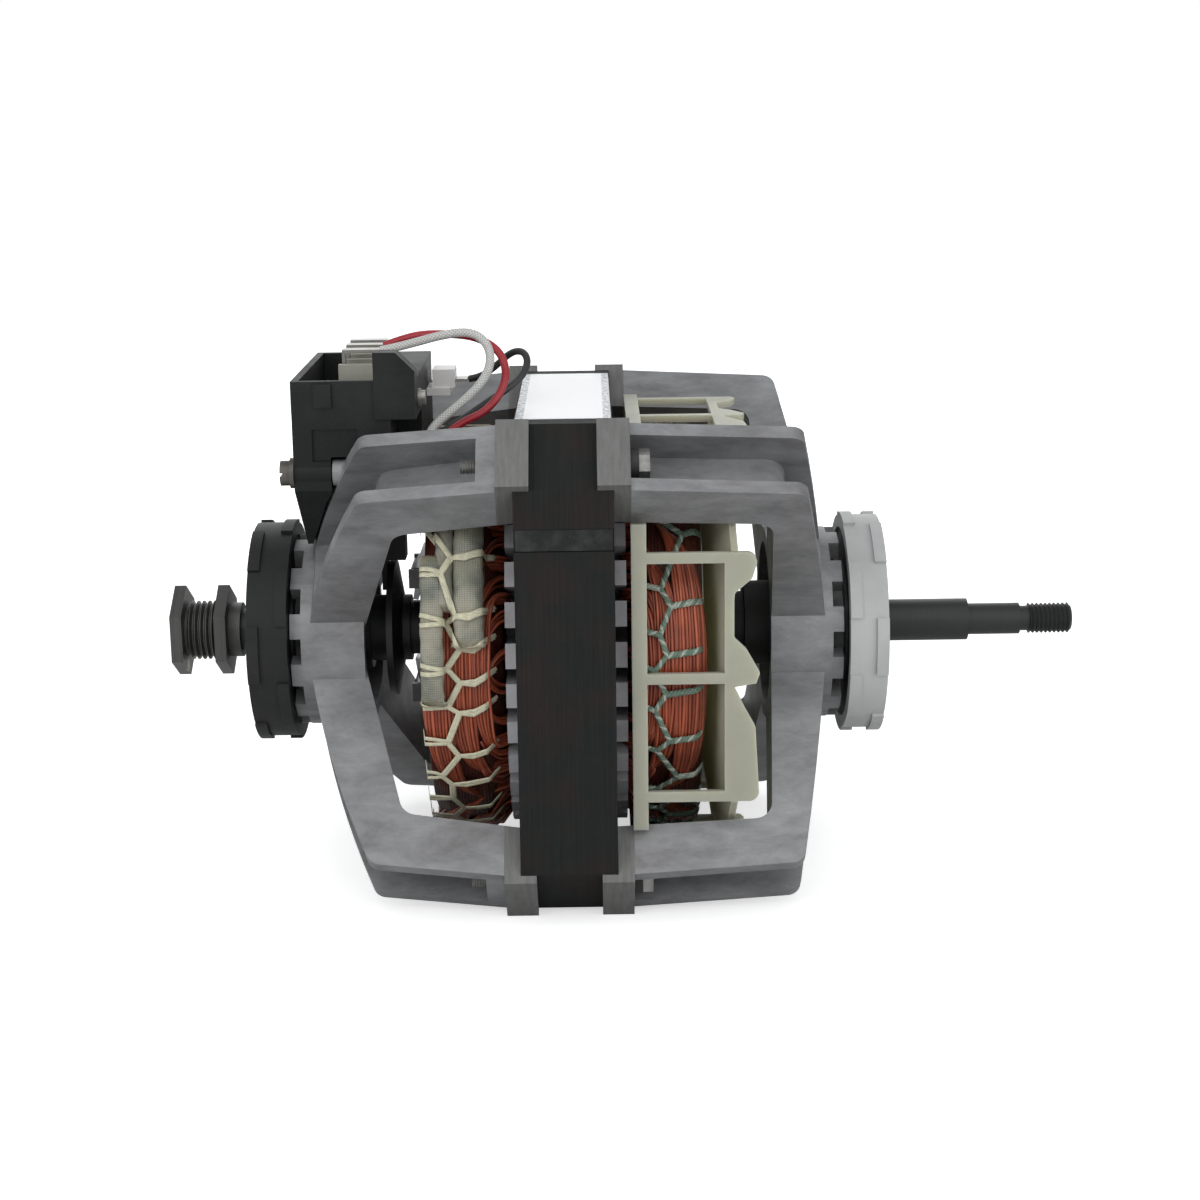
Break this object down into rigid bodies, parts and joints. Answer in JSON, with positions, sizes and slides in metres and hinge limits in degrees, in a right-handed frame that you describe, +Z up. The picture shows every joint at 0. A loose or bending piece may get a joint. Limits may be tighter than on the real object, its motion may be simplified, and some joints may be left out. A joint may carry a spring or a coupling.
{
  "type": "dryer drive motor",
  "caption": "Open-frame dryer drive motor: square stator, two cast end brackets, belt pulley at one end, stepped threaded blower shaft at the other, starting switch on top.",
  "frame": {"origin": "centre of the shaft's shoulder at the blower end, on the shaft's axis", "axes": "+X along the shaft towards the threaded blower end, +Z up through the starting switch, +Y to the rear"},
  "size_m": [0.259, 0.1372, 0.1571],
  "materials": {
    "cast_aluminium": "satin",
    "laminations": "satin",
    "black_steel": "satin",
    "pulley_steel": "satin",
    "bright_steel": "satin",
    "copper_enamel": "gloss",
    "slot_liner": "matte",
    "lacing_cream": "matte",
    "lacing_green": "matte",
    "sleeving": "matte",
    "cream_nylon": "matte",
    "white_nylon": "matte",
    "black_plastic": "matte",
    "black_rubber": "matte",
    "bronze": "satin",
    "brass": "satin",
    "felt": "matte",
    "label": "gloss",
    "lead_white": "matte",
    "lead_red": "satin",
    "lead_black": "satin"
  },
  "bodies": {
    "stator": {"stator_core": "laminations", "stator_cleats": "bright_steel", "slot_liners": "slot_liner", "stator_winding": "copper_enamel", "winding_turns_belt_end": "copper_enamel", "winding_turns_blower_end": "copper_enamel", "lacing_belt_end": "lacing_cream", "lacing_blower_end": "lacing_green", "lead_sleeves": "sleeving", "rating_label": "label", "belt_end_bracket": "cast_aluminium", "blower_end_bracket": "cast_aluminium", "through_bolts": "bright_steel", "bolt_washers": "bright_steel", "belt_end_mount_ring": "black_plastic", "belt_end_mount_cushion": "black_rubber", "belt_end_mount_sleeve": "black_steel", "blower_end_mount_ring": "white_nylon", "blower_end_mount_cushion": "black_rubber", "blower_end_mount_sleeve": "black_steel", "belt_end_bearing": "bronze", "belt_end_oil_felt": "felt", "belt_end_bearing_retainer": "bright_steel", "blower_end_bearing": "bronze", "blower_end_oil_felt": "felt", "blower_end_bearing_retainer": "bright_steel", "belt_end_bearing_cap": "black_plastic", "blower_end_bearing_cap": "black_plastic", "air_baffle": "cream_nylon", "switch_housing": "black_plastic", "switch_lever_pin": "bright_steel", "switch_terminal_frame": "cream_nylon", "switch_terminals": "brass", "switch_contact_leaf": "brass", "switch_screw": "bright_steel", "switch_screw_washer": "bright_steel", "lead_clamp_screw": "bright_steel", "thermal_protector": "black_plastic", "wire_connector": "white_nylon", "connector_blade": "bright_steel", "lead_white": "lead_white", "lead_red": "lead_red", "lead_black": "lead_black"},
    "collar": {"governor_collar": "black_plastic"},
    "weight_upper": {"governor_weight_upper": "bright_steel"},
    "weight_lower": {"governor_weight_lower": "bright_steel"},
    "lever": {"switch_lever": "black_plastic"},
    "rotor": {"rotor_core": "black_steel", "rotor_end_ring_belt_end": "cast_aluminium", "rotor_end_ring_blower_end": "cast_aluminium", "shaft": "black_steel", "belt_pulley": "pulley_steel", "oil_slingers": "black_steel", "governor_plate": "bright_steel", "governor_pins": "bright_steel", "governor_spring": "bright_steel"}
  },
  "joints": [
    {"name": "rotor_spin", "type": "hinge", "parent": "stator", "child": "rotor", "pos_m": [0, 0, 0], "axis": [1, 0, 0], "continuous": true},
    {"name": "governor_collar_slide", "type": "slide", "parent": "rotor", "child": "collar", "axis": [1, 0, 0], "range_m": [0, 0.0025], "deforming": ["governor_spring"]},
    {"name": "governor_weight_upper_swing", "type": "hinge", "parent": "rotor", "child": "weight_upper", "pos_m": [-0.1579, 0, 0.017], "axis": [0, -1, 0], "range_deg": [0, 17.5]},
    {"name": "governor_weight_lower_swing", "type": "hinge", "parent": "rotor", "child": "weight_lower", "pos_m": [-0.1579, 0, -0.017], "axis": [0, 1, 0], "range_deg": [0, 17.5]},
    {"name": "switch_lever_swing", "type": "hinge", "parent": "stator", "child": "lever", "pos_m": [-0.1642, 0, 0.05], "axis": [0, -1, 0], "range_deg": [0, 3.9]}
  ],
  "couplings": [
    {"joint": "governor_weight_upper_swing", "follows": "governor_collar_slide", "rad_per_m": 121.21},
    {"joint": "governor_weight_lower_swing", "follows": "governor_collar_slide", "rad_per_m": 121.21},
    {"joint": "switch_lever_swing", "follows": "governor_collar_slide", "rad_per_m": 26.316}
  ]
}
